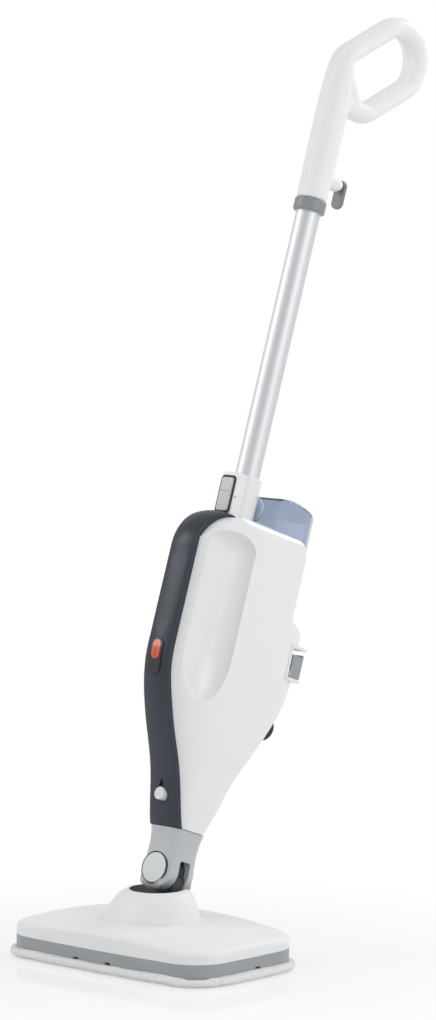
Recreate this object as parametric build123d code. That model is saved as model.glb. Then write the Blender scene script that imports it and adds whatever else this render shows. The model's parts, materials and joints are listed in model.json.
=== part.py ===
from build123d import *
import math
import os

# A steam mop: floor head, swivel, body with boiler and tank, metal wand and loop handle.
# World frame: X to the right, Y to the back, Z up, origin on the floor under the head's centre.
# The upper half is drawn upright in its own frame (Y back, Z up the wand, origin on the tilt axis)
# and is then leaned back about that axis.

# Driving dimensions in millimetres and degrees
LEAN = 19.15
PIVOT_Y, PIVOT_Z = 11.0, 53.2
ROLL_Z = 47.0
GAP = 0.35
FIT = 0.05
WALL = 3.0

# Floor head
HEAD_WIDTH, HEAD_DEPTH = 306.8, 179.2
HEAD_CORNER, FRONT_BOW, SIDE_BOW = 43.5, 5.7, 2.4
PAD_OVERHANG, PAD_TOP, PAD_SEAT = 9.5, 11.0, 8.8
PAD_EDGE_TOP, PAD_EDGE_LOW = 5.0, 4.5
BASE_TOP, BASE_FLOOR = 24.7, 16.8
COVER_CROWN, COVER_RADIUS, COVER_EDGE = 49.8, 1000.0, 7.0
# Dome: height, half width, half depth and middle of each level
DOME_LEVELS = [
    (39.8, 60.0, 50.0, 0.0),
    (51.8, 57.5, 47.5, 1.0),
    (66.8, 50.0, 43.0, 4.0),
    (75.8, 42.5, 38.5, 6.5),
    (80.8, 34.0, 33.0, 8.0),
]
DOME_LIP = 2.4
MAX_LEAN = 59.0
SCREW_SPOTS = [(x, y) for x in (-122, 122) for y in (-55, 55)]
TOWER_INNER, TOWER_OUTER, TOWER_RADIUS = 17.0, 25.0, 12.0
BUSH_RADIUS = 6.5

# Swivel
PIN_RADIUS = 4.0
BARREL_RADIUS, BARREL_HALF = 13.0, 16.6
TONGUE_HALF_THICK, TONGUE_TOP = 8.2, 17.5
TONGUE_FOOT_HALF, TONGUE_FOOT_TOP = 20.0, 44.0
NECK_HALF, NECK_DEPTH, NECK_TOP = 24.0, 24.5, 94.0
NECK_WAIST, NECK_WAIST_Z, NECK_MOUTH = (23.2, 23.5), 74.0, (25.5, 26.0)
NECK_SQUARE = 3.6
NECK_SLOT_TOP = 60.0
CAP_RADIUS, CAP_FACE, CAP_RING = 17.2, 23.5, 0.9

# Body: height, front of the band, back, half width, widest point, squareness of the back and of the front
STATIONS = [
    (94.0, -26.0, 26.0, 25.5, 0.0, 3.2, 3.6),
    (122.0, -36.5, 37.0, 29.5, 1.0, 3.2, 3.2),
    (146.0, -45.0, 44.0, 32.5, 0.0, 3.4, 2.8),
    (170.0, -56.0, 53.0, 35.5, -3.0, 3.8, 2.5),
    (196.0, -70.5, 66.0, 38.5, -9.0, 4.4, 2.3),
    (225.0, -85.0, 79.5, 41.5, -17.0, 5.0, 2.1),
    (250.0, -94.5, 91.0, 43.6, -26.0, 5.0, 2.1),
    (269.0, -98.8, 96.6, 44.7, -33.0, 5.0, 2.1),
    (286.0, -100.0, 98.5, 45.0, -37.0, 5.0, 2.1),
]
BODY_RAISE = 170.0
BAND_PROUD = 5.0
SECTION_POINTS = 24
BODY_TOP, SHELF_LOW, SHELF_HIGH, SHELF_BACK = 448.0, 341.0, 356.0, 61.0
TOP_CURL, BAND_CURL, SHOULDER = 62.0, 52.0, 12.0
SEAM = 0.7
BAND_HALF, BAND_HALF_LOW = 17.5, 22.0
BAND_EDGE = 4.5
BAND_END = -42.0

# Grip scoop on each side
SCOOP_AT = (47.0, -63.0)
SCOOP_SIZE = (25.0, 38.0)
SCOOP_LOW, SCOOP_HIGH, SCOOP_LOW_CAP, SCOOP_HIGH_CAP = 290.0, 410.0, 64.0, 19.0

# Tank and its catch
BAY_HALF, BAY_FRONT, BAY_FLOOR = 40.0, 1.0, 352.0
TANK_HALF, TANK_FRONT, TANK_BACK, TANK_WALL = 38.5, 4.0, 78.0, 2.5
TANK_BOTTOM, TANK_TOP, TANK_DROP = 353.0, 486.0, 12.0
SEAT_Y = 45.0
FILLER_Z, FILLER_RADIUS = 468.0, 15.0
LATCH_LOW, LATCH_HIGH, LATCH_FRONT, LATCH_BACK, LATCH_HALF = 291.0, 331.0, 72.0, 99.5, 42.5
LATCH_PIN_Y, LATCH_PIN_Z = 80.0, 299.0

# Wand and handle
TUBE_Y, TUBE_RADIUS, TUBE_WALL = -19.5, 14.0, 1.2
TUBE_LOW, TUBE_HIGH = 402.0, 866.0
SOCKET_RADIUS, SOCKET_TOP, SOCKET_LOW = 17.5, 499.0, 398.0
LEVER_HALF, LEVER_LOW, LEVER_HIGH, LEVER_FACE = 8.5, 453.0, 492.0, -50.5
LEVER_PIN_Y, LEVER_PIN_Z = -44.5, 471.0
COLLAR_LOW, COLLAR_HIGH, COLLAR_RADIUS = 814.0, 828.0, 18.4
# Grip: height, half width and half depth; the bar of the loop keeps the last size
GRIP = [(828.0, 17.6, 17.6), (868.0, 17.0, 16.0), (905.0, 16.6, 13.8), (945.0, 16.2, 12.4), (985.0, 15.4, 11.4)]
LOOP = [(TUBE_Y, 985.0), (TUBE_Y, 1003.0), (101.0, 1106.6), (101.0, 1007.4), (34.0, 949.8), (TUBE_Y, 949.8)]
LOOP_RADII = [24.0, 36.0, 34.0, 20.0]
HANDLE_BOSSES = [(TUBE_Y, 888.0), (TUBE_Y, 980.0), (38.0, 1052.4), (66.0, 977.3)]
HOOK_Z, HOOK_FACE, HOOK_GAP = 858.0, 22.0, 0.4

# Controls on the band
BUTTON_Z, BUTTON_SIZE = 273.0, (16.4, 41.0)
LENS_Z, LENS_SIZE = 280.0, (11.4, 22.0)
RELEASE_Z, RELEASE_RADIUS, RELEASE_FACE = 128.0, 7.3, -43.5
RUN_IN, RUN_IN_FLOOR, RUN_IN_TILT = [(-7.5, 4.2), (7.5, 4.2), (0.8, 17.0), (-0.8, 17.0)], -36.6, 14.5

# What the body holds
SHELL_BOSSES = [(18, 112), (56, 236), (-20, 240), (-56, 408), (84, 268)]
BOILER_Y, BOILER_RADIUS, BOILER_LOW, BOILER_HIGH = 28.0, 29.0, 252.0, 330.0
PUMP_Y, PUMP_RADIUS, PUMP_LOW, PUMP_HIGH = 18.0, 16.0, 144.0, 212.0
GLAND_Z, GLAND_NECK, GLAND_RADIUS, GLAND_END, CORD_BORE = 236.0, 11.0, 15.0, 106.0, 4.25


def leaned(shape, lean=LEAN):
    return Pos(0, PIVOT_Y, PIVOT_Z) * Rot(-lean, 0, 0) * shape


def cyl_x(radius, x0, x1, y, z):
    return Pos((x0 + x1) / 2, y, z) * Rot(0, 90, 0) * Cylinder(radius, abs(x1 - x0))


def cyl_y(radius, y0, y1, x, z):
    return Pos(x, (y0 + y1) / 2, z) * Rot(90, 0, 0) * Cylinder(radius, abs(y1 - y0))


def cyl_z(radius, z0, z1, x, y):
    return Pos(x, y, (z0 + z1) / 2) * Cylinder(radius, abs(z1 - z0))


def span(x0, x1, y0, y1, z0, z1):
    return Pos((x0 + x1) / 2, (y0 + y1) / 2, (z0 + z1) / 2) * Box(x1 - x0, y1 - y0, z1 - z0)


def side_slab(points, half, rounds=()):
    # A plate across X whose outline is drawn in Y and Z; rounds gives (corner index, radius)
    face = make_face(Polyline(*points, close=True))
    for index, radius in rounds:
        corner = face.vertices().sort_by_distance(Vector(*points[index], 0))[0]
        face = fillet(corner, radius)
    return extrude(Plane.YZ * face, amount=half, both=True)


def group(*shapes):
    return Compound(children=[solid for shape in shapes for solid in shape.solids()])


def half_of(shape, side):
    return shape & span(min(0, side * 300), max(0, side * 300), -400, 400, -400, 1400)


# Floor head, drawn in the world frame


def head_outline(grow=0.0):
    hx, hy = HEAD_WIDTH / 2 + grow, HEAD_DEPTH / 2 + grow
    cx, cy = hx - SIDE_BOW, hy - FRONT_BOW
    edges = [
        ThreePointArc((-cx, -cy), (0, -hy), (cx, -cy)),
        ThreePointArc((cx, -cy), (hx, 0), (cx, cy)),
        ThreePointArc((cx, cy), (0, hy), (-cx, cy)),
        ThreePointArc((-cx, cy), (-hx, 0), (-cx, -cy)),
    ]
    face = make_face(edges)
    return fillet(face.vertices(), HEAD_CORNER + grow)


def head_prism(grow, z0, z1):
    return extrude(Pos(0, 0, z0) * head_outline(grow), amount=z1 - z0)


def mop_pad():
    pad = head_prism(PAD_OVERHANG, 0, PAD_TOP)
    pad = fillet(pad.edges().group_by(Axis.Z)[-1], PAD_EDGE_TOP)
    pad = fillet(pad.edges().group_by(Axis.Z)[0], PAD_EDGE_LOW)
    return pad - head_prism(0.5, PAD_SEAT, PAD_TOP + 5)


def hook_strips():
    return group(*[Pos(0, y, PAD_SEAT + 0.8) * Box(230, 22, 1.6) for y in (-52, 0, 52)])


def head_base():
    base = head_prism(0, PAD_SEAT, BASE_TOP) - head_prism(-3.0, BASE_FLOOR, BASE_TOP + 5)
    base -= hook_strips()
    for x, y in SCREW_SPOTS:
        base += cyl_z(6.5, BASE_FLOOR, BASE_TOP, x, y)
    for x in (-100, -60, 60, 100):
        base += span(x - 1.2, x + 1.2, -HEAD_DEPTH / 2 + 5, HEAD_DEPTH / 2 - 5, BASE_FLOOR, BASE_FLOOR + 4)
    for side in (-1, 1):
        inner, outer = sorted((side * TOWER_INNER, side * TOWER_OUTER))
        tower = span(inner, outer, PIVOT_Y - TOWER_RADIUS, PIVOT_Y + TOWER_RADIUS, BASE_FLOOR, PIVOT_Z)
        tower += cyl_x(TOWER_RADIUS, inner, outer, PIVOT_Y, PIVOT_Z)
        base += tower - cyl_x(BUSH_RADIUS, inner - 1, outer + 1, PIVOT_Y, PIVOT_Z)
    for x, y in SCREW_SPOTS:
        base -= cyl_z(1.7, PAD_SEAT - 1, BASE_TOP + 1, x, y)
        base -= cyl_z(3.6, PAD_SEAT - 1, PAD_SEAT + 3, x, y)
    # Small drain slots along the lower edge of the rim
    for x, y, turn in ((-31, -88, 0), (18, -88, 0), (146, 8, 90), (-31, 88, 0), (18, 88, 0), (-150, 8, 90)):
        base -= Pos(x, y, PAD_SEAT + 3) * Rot(0, 0, turn) * Box(8, 16, 3)
    return base


def steam_distributor():
    plate = Pos(0, 0, BASE_FLOOR + 3) * Box(110, 130, 6)
    plate = fillet(plate.edges().filter_by(Axis.Z), 12)
    plate -= Pos(0, PIVOT_Y, BASE_FLOOR + 3) * Box(2 * TOWER_OUTER + 3, 2 * TOWER_RADIUS + 10, 7)
    return plate + cyl_z(5.0, BASE_FLOOR + 5, BASE_FLOOR + 16, 42, PIVOT_Y)


def head_hose():
    low = BASE_FLOOR + 16
    path = FilletPolyline((29.2, PIVOT_Y, PIVOT_Z), (42, PIVOT_Y, PIVOT_Z), (42, PIVOT_Y, low), radius=9)
    return sweep(Plane(path @ 0, z_dir=path % 0) * Circle(4.0), path)


def cover_plate(inset):
    body = head_prism(-inset, BASE_TOP, COVER_CROWN + 12)
    body = body & (Pos(0, 0, COVER_CROWN - inset - COVER_RADIUS) * Rot(90, 0, 0) * Sphere(COVER_RADIUS))
    rim = [edge for edge in body.edges() if edge.bounding_box().min.Z > BASE_TOP + 5]
    return fillet(rim, COVER_EDGE - inset)


def dome(inset):
    shape = loft([Pos(0, y, z) * Ellipse(a - inset, b - inset) for z, a, b, y in DOME_LEVELS])
    if inset:
        return shape
    return fillet(shape.faces().sort_by(Axis.Z)[-1].edges(), DOME_LIP)


def head_cover():
    inside = cover_plate(WALL)
    hollow = dome(WALL)
    cover = cover_plate(0) - inside - hollow
    cover += dome(0) - hollow - inside
    # Room for the neck as it leans back: a slot down the rear of the dome
    slot = span(-NECK_HALF - 3, NECK_HALF + 3, -80, NECK_DEPTH + 2.0, 19, 140)
    cover -= leaned(slot, MAX_LEAN)
    for x, y in SCREW_SPOTS:
        cover += cyl_z(4.5, BASE_TOP + 0.1, COVER_CROWN, x, y) & inside
        cover -= cyl_z(1.5, BASE_TOP - 1, BASE_TOP + 12, x, y)
    return cover


def cover_screws():
    screws = []
    for x, y in SCREW_SPOTS:
        screws.append(cyl_z(1.5, PAD_SEAT + 2.9, BASE_TOP + 12, x, y) + cyl_z(3.4, PAD_SEAT + 0.4, PAD_SEAT + 3, x, y))
    return group(*screws)


def pitch_pin():
    return cyl_x(PIN_RADIUS, -27, 29, PIVOT_Y, PIVOT_Z) - cyl_x(2.4, 0, 30, PIVOT_Y, PIVOT_Z)


def pitch_bushes():
    bushes = []
    for side in (-1, 1):
        ring = cyl_x(BUSH_RADIUS, side * TOWER_INNER, side * TOWER_OUTER, PIVOT_Y, PIVOT_Z)
        bushes.append(ring - cyl_x(PIN_RADIUS, -40, 40, PIVOT_Y, PIVOT_Z))
    return group(*bushes)


# Swivel and body, drawn upright in the upper frame


def knuckle():
    part = cyl_x(BARREL_RADIUS, -BARREL_HALF, BARREL_HALF, 0, 0)
    part += cyl_y(TONGUE_TOP, -TONGUE_HALF_THICK, TONGUE_HALF_THICK, 0, ROLL_Z)
    part += span(-16, 16, -TONGUE_HALF_THICK, TONGUE_HALF_THICK, 5, ROLL_Z)
    foot = span(-TONGUE_FOOT_HALF, TONGUE_FOOT_HALF, -TONGUE_HALF_THICK, TONGUE_HALF_THICK, 15, TONGUE_FOOT_TOP)
    part += fillet(foot.edges().filter_by(Axis.Y), 4)
    part -= cyl_x(PIN_RADIUS + FIT, -30, 30, 0, 0)
    part -= cyl_y(PIN_RADIUS + FIT, -30, 30, 0, ROLL_Z)
    return part - cyl_z(2.5, PIN_RADIUS - 1, ROLL_Z - 6, 0, 0)


def oval(half_x, half_y, z, squareness=NECK_SQUARE):
    points = []
    for i in range(SECTION_POINTS):
        angle = 2 * math.pi * i / SECTION_POINTS
        c, s = math.cos(angle), math.sin(angle)
        x = half_x * math.copysign(abs(c) ** (2 / squareness), c)
        y = half_y * math.copysign(abs(s) ** (2 / squareness), s)
        points.append((x, y, z))
    return make_face(Spline(*points, periodic=True))


def neck():
    low = ROLL_Z - NECK_HALF - 2
    body = loft([
        oval(NECK_HALF, NECK_DEPTH, low),
        oval(NECK_HALF, NECK_DEPTH, ROLL_Z),
        oval(*NECK_WAIST, NECK_WAIST_Z),
        oval(*NECK_MOUTH, NECK_TOP),
    ])
    round_foot = cyl_y(NECK_HALF, -60, 60, 0, ROLL_Z) + span(-60, 60, -60, 60, ROLL_Z, NECK_TOP)
    chin = side_slab(
        [(-60, ROLL_Z - NECK_HALF), (-60, 120), (60, 120), (60, ROLL_Z - NECK_HALF)], 60
    ) & fillet(span(-60, 60, -NECK_DEPTH, NECK_DEPTH, ROLL_Z - NECK_HALF, 150).edges()
               .filter_by(Axis.X).group_by(Axis.Z)[0], 10)
    body = body & round_foot
    body = body & (chin + span(-60, 60, -60, 60, ROLL_Z, NECK_TOP))
    slot_half = TONGUE_HALF_THICK + GAP
    slot = span(-60, 60, -slot_half, slot_half, 0, NECK_SLOT_TOP)
    body -= fillet(slot.edges().filter_by(Axis.X).group_by(Axis.Z)[-1], 3)
    body -= cyl_y(TONGUE_TOP + 1.5, -slot_half, slot_half, 0, ROLL_Z)
    # Round seats for the pin caps and the bore of the pin
    for side in (-1, 1):
        body -= cyl_y(CAP_RADIUS + CAP_RING, side * (CAP_FACE - 1.5), side * 60, 0, ROLL_Z)
        body -= cyl_y(CAP_RADIUS, side * (CAP_FACE - 3), side * 60, 0, ROLL_Z)
    body -= cyl_y(PIN_RADIUS, -40, 40, 0, ROLL_Z)
    # Hollow top that takes the steam hose
    hollow = loft([oval(15, 17, ROLL_Z + 26), oval(NECK_MOUTH[0] - WALL, NECK_MOUTH[1] - WALL, NECK_TOP)])
    return body - hollow - cyl_z(3, ROLL_Z, NECK_TOP, 0, 0)


def roll_pin():
    return cyl_y(PIN_RADIUS, -CAP_FACE + 3, CAP_FACE - 3, 0, ROLL_Z)


def roll_cap(side):
    cap = cyl_y(CAP_RADIUS, side * (CAP_FACE - 3), side * (CAP_FACE + 1.2), 0, ROLL_Z)
    rim = cap.edges().filter_by(GeomType.CIRCLE).sort_by(Axis.Y)
    return fillet(rim[-1] if side > 0 else rim[0], 1.0)


def body_section(station, inset):
    # A soft round front and a squarer back
    z, front, back, half, centre, back_square, front_square = station
    front, back, half = front + BAND_PROUD + inset, back - inset, half - inset
    points = []
    for i in range(SECTION_POINTS):
        angle = math.pi + 2 * math.pi * i / SECTION_POINTS
        c, s = math.cos(angle), math.sin(angle)
        depth, power = (back - centre, 2 / back_square) if s > 0 else (centre - front, 2 / front_square)
        x = half * math.copysign(abs(c) ** power, c)
        points.append((x, centre + depth * math.copysign(abs(s) ** power, s), z))
    return make_face(Spline(*points, periodic=True))


def body_half(inset):
    sections = [body_section(station, inset) for station in STATIONS]
    body = loft(sections) + extrude(sections[-1], amount=BODY_RAISE)
    return half_of(body, 1)


def scoop(grow=0.0):
    low, high = SCOOP_LOW, SCOOP_HIGH
    profile = make_face([
        Line((0, low - SCOOP_LOW_CAP - grow), (0, high + SCOOP_HIGH_CAP + grow)),
        EllipticalCenterArc((0, high), 1, SCOOP_HIGH_CAP + grow, 0, arc_size=90),
        Line((1, high), (1, low)),
        EllipticalCenterArc((0, low), 1, SCOOP_LOW_CAP + grow, 270, arc_size=90),
    ])
    rod = revolve(Plane.XZ * profile, Axis.Z)
    bowl = scale(rod, by=(SCOOP_SIZE[0] + grow, SCOOP_SIZE[1] + grow, 1))
    return Pos(SCOOP_AT[0], SCOOP_AT[1], 0) * bowl


def body_outer():
    front = STATIONS[-1][1] + BAND_PROUD - 2
    outline = [
        (front, NECK_TOP + SEAM), (130, NECK_TOP + SEAM), (130, SHELF_LOW - 2), (98, SHELF_LOW),
        (SHELF_BACK, SHELF_HIGH), (SHELF_BACK, BODY_TOP), (front, BODY_TOP),
    ]
    side = side_slab(outline, 70, [(6, TOP_CURL), (5, 24), (4, 5), (3, 4)])
    wide = STATIONS[-1][3] + 0.6
    arch = make_face(Polyline((0, 60), (wide, 60), (wide, BODY_TOP), (0, BODY_TOP), close=True))
    arch = fillet(arch.vertices().sort_by_distance(Vector(wide, BODY_TOP, 0))[0], SHOULDER)
    return body_half(0) & side & extrude(Plane.XZ * arch, amount=200, both=True)


def body_cavity():
    front = STATIONS[-1][1] + BAND_PROUD + 1
    outline = [
        (front, NECK_TOP), (97, NECK_TOP), (97, SHELF_LOW - 4), (SHELF_BACK - 2, BAY_FLOOR - 3),
        (BAY_FRONT - 3, BAY_FLOOR - 3), (BAY_FRONT - 3, BODY_TOP - SHOULDER), (front, BODY_TOP - SHOULDER),
    ]
    side = side_slab(outline, 70, [(6, TOP_CURL - SHOULDER)])
    return (body_half(WALL) & side) - scoop(WALL)


def right_shell(outer):
    cavity = body_cavity()
    shell = outer - cavity - scoop()
    shell += [cyl_x(5, 0, 50, y, z) & cavity for y, z in SHELL_BOSSES]
    # Bay for the tank, its seat, the catch, the wand socket, the gland and the controls
    cutters = [
        span(-BAY_HALF, BAY_HALF, BAY_FRONT, 140, BAY_FLOOR, 520),
        cyl_z(10, BAY_FLOOR - 10, BAY_FLOOR + 1, 0, SEAT_Y),
        span(-60, 60, LATCH_FRONT, 140, LATCH_LOW, LATCH_HIGH),
        cyl_z(SOCKET_RADIUS, SOCKET_LOW, 520, 0, TUBE_Y),
        span(-13, 13, -48, TUBE_Y, 430, 520),
        cyl_y(GLAND_NECK, 40, 140, 0, GLAND_Z),
        cyl_y(2.8, -110, -80, 0, BUTTON_Z),
        cyl_y(RELEASE_RADIUS + GAP, -60, -15, 0, RELEASE_Z),
    ]
    return shell - cutters - [cyl_x(1.6, -1, 14, y, z) for y, z in SHELL_BOSSES]


def left_shell(right):
    shell = mirror(right, Plane.YZ)
    shell -= [cyl_x(1.6, -60, 1, y, z) for y, z in SHELL_BOSSES]
    return shell - [cyl_x(3.2, -60, -10, y, z) for y, z in SHELL_BOSSES]


def shell_screws():
    screws = []
    for y, z in SHELL_BOSSES:
        screws.append(cyl_x(1.6, -10, 14, y, z) + cyl_x(3.1, -12, -10, y, z))
    return group(*screws)


def band_solid():
    # The band's own outline, seen from the side and from the front
    fronts = [(station[1], station[0]) for station in STATIONS if station[0] < BODY_TOP - 60]
    low = (fronts[0][0], NECK_TOP + SEAM)
    edge = Spline(low, *fronts[1:])
    front, high = fronts[-1]
    top = BODY_TOP + BAND_PROUD - 1
    curl = BAND_CURL
    face = make_face([
        edge,
        Line((front, high), (front, top - curl)),
        RadiusArc((front, top - curl), (front + curl, top), curl),
        Line((front + curl, top), (BAND_END, top)),
        Line((BAND_END, top), (BAND_END, BODY_TOP - 20)),
        Line((BAND_END, BODY_TOP - 20), (-4.0, 250.0)),
        Line((-4.0, 250.0), (-4.0, NECK_TOP + SEAM)),
        Line((-4.0, NECK_TOP + SEAM), low),
    ])
    side = extrude(Plane.YZ * face, amount=60, both=True)
    taper = Spline((BAND_HALF_LOW, 60), (BAND_HALF_LOW, 95), (BAND_HALF_LOW - 2, 150), (BAND_HALF + 0.4, 245),
                   (BAND_HALF, 300))
    sheet = make_face([
        taper,
        Line((BAND_HALF, 300), (BAND_HALF, 520)),
        Line((BAND_HALF, 520), (-BAND_HALF, 520)),
        Line((-BAND_HALF, 520), (-BAND_HALF, 300)),
        mirror(taper, Plane.YZ),
        Line((-BAND_HALF_LOW, 60), (BAND_HALF_LOW, 60)),
    ])
    plan = extrude(Plane.XZ * sheet, amount=200, both=True)
    band = side & plan
    rims = [edge for edge in band.edges() if edge.center().Y < -52 and abs(edge.center().X) > 5]
    return fillet(rims, BAND_EDGE)


def pill(size, z, y0, y1, grow=0.0):
    shape = SlotOverall(size[1] + 2 * grow, size[0] + 2 * grow, rotation=90)
    return extrude(Pos(0, y0, z) * (Plane.XZ * shape), amount=-(y1 - y0))


def front_spine(band, outer):
    spine = band - outer - mirror(outer, Plane.YZ) - span(-13, 13, LEVER_FACE + 2.7, 0, BODY_TOP - 30, BODY_TOP + 30)
    spine -= pill(BUTTON_SIZE, BUTTON_Z, -120, -60, GAP)
    spine -= cyl_y(RELEASE_RADIUS + GAP, -80, 0, 0, RELEASE_Z)
    # Tear-shaped run-in above the release button
    drop = make_face(Circle(RELEASE_RADIUS + 1.3).edges()) + make_face(Polyline(*RUN_IN, close=True))
    drop = extrude(Plane.XZ * drop, amount=20)
    return spine - Pos(0, RUN_IN_FLOOR, RELEASE_Z) * Rot(RUN_IN_TILT, 0, 0) * drop


def steam_button(band):
    face = Pos(0, -0.8, 0) * band - Pos(0, 2.2, 0) * band
    button = face & pill(BUTTON_SIZE, BUTTON_Z, -120, -70)
    button -= pill(LENS_SIZE, LENS_Z, -120, -70, 0.0) & (Pos(0, -0.8, 0) * band - Pos(0, 0.8, 0) * band)
    button += cyl_y(2.2, -97.8, -85.6, 0, BUTTON_Z)
    return button


def indicator_lens(band):
    glass = Pos(0, -1.4, 0) * band - Pos(0, 0.8, 0) * band
    return glass & pill(LENS_SIZE, LENS_Z, -120, -70)


def release_button():
    button = cyl_y(RELEASE_RADIUS, RELEASE_FACE, -25, 0, RELEASE_Z)
    face = button.edges().filter_by(GeomType.CIRCLE).sort_by(Axis.Y)[0]
    return fillet(face, 1.0) + cyl_y(9.5, -26.5, -24, 0, RELEASE_Z)


def release_spring():
    leaf = span(-4, 4, -19.4, -18.8, RELEASE_Z - 20, RELEASE_Z + 20)
    return leaf + span(-4, 4, -19.4, -15, RELEASE_Z + 19.4, RELEASE_Z + 20)


# What the body holds


def boiler():
    body = cyl_z(BOILER_RADIUS, BOILER_LOW, BOILER_HIGH, 0, BOILER_Y)
    for z in (BOILER_LOW + 12, BOILER_LOW + 36, BOILER_HIGH - 12):
        body += cyl_z(BOILER_RADIUS + 2, z - 2, z + 2, 0, BOILER_Y)
    body += span(-9, 9, BOILER_Y - BOILER_RADIUS - 2, BOILER_Y, BOILER_LOW + 14, BOILER_HIGH - 14)
    body += cyl_z(4, BOILER_LOW - 10, BOILER_LOW + 1, 0, 8)
    body -= cyl_z(BOILER_RADIUS - 4, BOILER_LOW + 4, BOILER_HIGH - 4, 0, BOILER_Y)
    body -= cyl_z(2.2, BOILER_LOW - 11, BOILER_LOW + 5, 0, 8)
    return body - [cyl_z(3.4, BOILER_HIGH - 5, BOILER_HIGH + 1, x, BOILER_Y) for x in (-12, 12)]


def boiler_heater():
    legs = [cyl_z(3.4, BOILER_LOW + 16, BOILER_HIGH + 8, x, BOILER_Y) for x in (-12, 12)]
    return legs[0] + legs[1] + cyl_x(3.0, -12, 12, BOILER_Y, BOILER_LOW + 17.6)


def thermostat():
    face = BOILER_Y - BOILER_RADIUS - 2
    return cyl_y(8, face - 6, face, 0, 308) + cyl_y(4, face - 10, face - 5, 0, 308)


def thermal_fuse():
    face = BOILER_Y - BOILER_RADIUS - 2
    return cyl_z(2.5, 272, 292, 0, face - 2.5)


def pump():
    body = cyl_z(PUMP_RADIUS, PUMP_LOW, PUMP_HIGH, 0, PUMP_Y)
    body += cyl_z(4, PUMP_HIGH - 1, PUMP_HIGH + 8, 0, PUMP_Y)
    return body + cyl_z(4, PUMP_LOW - 8, PUMP_LOW + 1, 0, PUMP_Y) + span(-12, 12, PUMP_Y, PUMP_Y + 20, 166, 192)


def pump_mounts():
    rings = []
    for z in (PUMP_LOW + 6, PUMP_HIGH - 12):
        ring = cyl_z(PUMP_RADIUS + 5, z, z + 6, 0, PUMP_Y) - cyl_z(PUMP_RADIUS, z - 1, z + 7, 0, PUMP_Y)
        rings.append(ring)
    return group(*rings)


def hose(points, radii, radius=3.5):
    path = FilletPolyline(*points, radius=radii)
    return sweep(Plane(path @ 0, z_dir=path % 0) * Circle(radius), path)


def water_hose():
    high = BAY_FLOOR - 8
    return hose([(10, SEAT_Y, high), (36, SEAT_Y, high), (36, SEAT_Y - 6, 242), (0, PUMP_Y, 242), (0, PUMP_Y, PUMP_HIGH + 8)],
                [9, 12, 9])


def feed_hose():
    low = PUMP_LOW - 8
    return hose([(0, PUMP_Y, low), (0, PUMP_Y, low - 14), (-20, 2, low - 10), (-20, -12, 234), (-14, 8, 240),
                 (-14, 8, BOILER_LOW)], [6, 8, 8, 5], 3.0)


def steam_hose():
    return hose([(0, 8, BOILER_LOW - 10), (0, 8, 232), (0, -10, 210), (0, -10, 126), (0, -2, 100), (0, -2, ROLL_Z + 30)],
                [14, 20, 20, 14])


def tank_seat():
    seat = cyl_z(9.9, BAY_FLOOR - 14, BAY_FLOOR - 0.2, 0, SEAT_Y) - cyl_z(7.5, BAY_FLOOR - 11, BAY_FLOOR + 1, 0, SEAT_Y)
    return seat


def tank_seat_seal():
    return cyl_z(7.5, BAY_FLOOR - 11, BAY_FLOOR - 8, 0, SEAT_Y) - cyl_z(3.5, BAY_FLOOR - 12, BAY_FLOOR - 7, 0, SEAT_Y)


def control_board():
    return span(-13, 13, -73.6, -72, 256, 330) + span(-8, 8, -72, -66, 300, 320)


def switch_module():
    return span(-6, 6, -82, -73.6, BUTTON_Z - 10, BUTTON_Z + 10) + cyl_y(2, -83.4, -81, 0, BUTTON_Z)


def terminal_block():
    block = span(-14, 14, 34, 46, 224, 238)
    for x in (-9, 0, 9):
        block -= cyl_y(2, 30, 40, x, 231)
    return block


def cord_gland():
    boss = cyl_y(GLAND_RADIUS, 78, GLAND_END, 0, GLAND_Z)
    end = boss.edges().filter_by(GeomType.CIRCLE).sort_by(Axis.Y)[-1]
    boss = fillet(end, 6) + cyl_y(GLAND_NECK, 72, 80, 0, GLAND_Z)
    boss -= cyl_y(CORD_BORE, 60, 110, 0, GLAND_Z)
    # The flange lies against the body, and only its neck goes through the wall
    wall = body_half(0) - cyl_y(GLAND_NECK, 40, 140, 0, GLAND_Z)
    return boss - wall - mirror(wall, Plane.YZ)


# Tank and its catch


def tank_block(inset):
    low = TANK_BOTTOM + inset
    plan = Pos(0, (TANK_FRONT + TANK_BACK) / 2, low) * Rectangle(2 * (TANK_HALF - inset), TANK_BACK - TANK_FRONT - 2 * inset)
    plan = fillet(plan.vertices().group_by(Axis.Y)[-1], 24 - inset)
    plan = fillet(plan.vertices().group_by(Axis.Y)[0], 5 - inset * 0.9)
    block = extrude(plan, amount=TANK_TOP - low + 10)
    front, back, top = TANK_FRONT + inset, TANK_BACK - inset, TANK_TOP - inset
    face = make_face([
        Line((front, low - 1), (back + 9, low - 1)),
        Line((back + 9, low - 1), (back + 9, top - TANK_DROP - 6)),
        ThreePointArc((back + 9, top - TANK_DROP - 6), (front + 30, top), (front - 9, top - 5)),
        Line((front - 9, top - 5), (front - 9, low - 1)),
        Line((front - 9, low - 1), (front, low - 1)),
    ])
    block = block & extrude(Plane.YZ * face, amount=80, both=True)
    return block


def water_tank():
    tank = tank_block(0)
    tank = fillet(tank.faces().sort_by(Axis.Z)[-1].edges(), 4.5)
    tank -= tank_block(TANK_WALL)
    tank -= cyl_z(4.2, TANK_BOTTOM - 1, TANK_BOTTOM + 5, 0, SEAT_Y)
    return tank - cyl_y(FILLER_RADIUS - 3, TANK_FRONT - 5, TANK_FRONT + 5, 0, FILLER_Z)


def tank_cap():
    cap = cyl_y(FILLER_RADIUS, TANK_FRONT - 3, TANK_FRONT, 0, FILLER_Z)
    front = cap.edges().filter_by(GeomType.CIRCLE).sort_by(Axis.Y)[0]
    return fillet(front, 1.2) + cyl_y(FILLER_RADIUS - 3, TANK_FRONT - 1, TANK_FRONT + TANK_WALL, 0, FILLER_Z)


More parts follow.
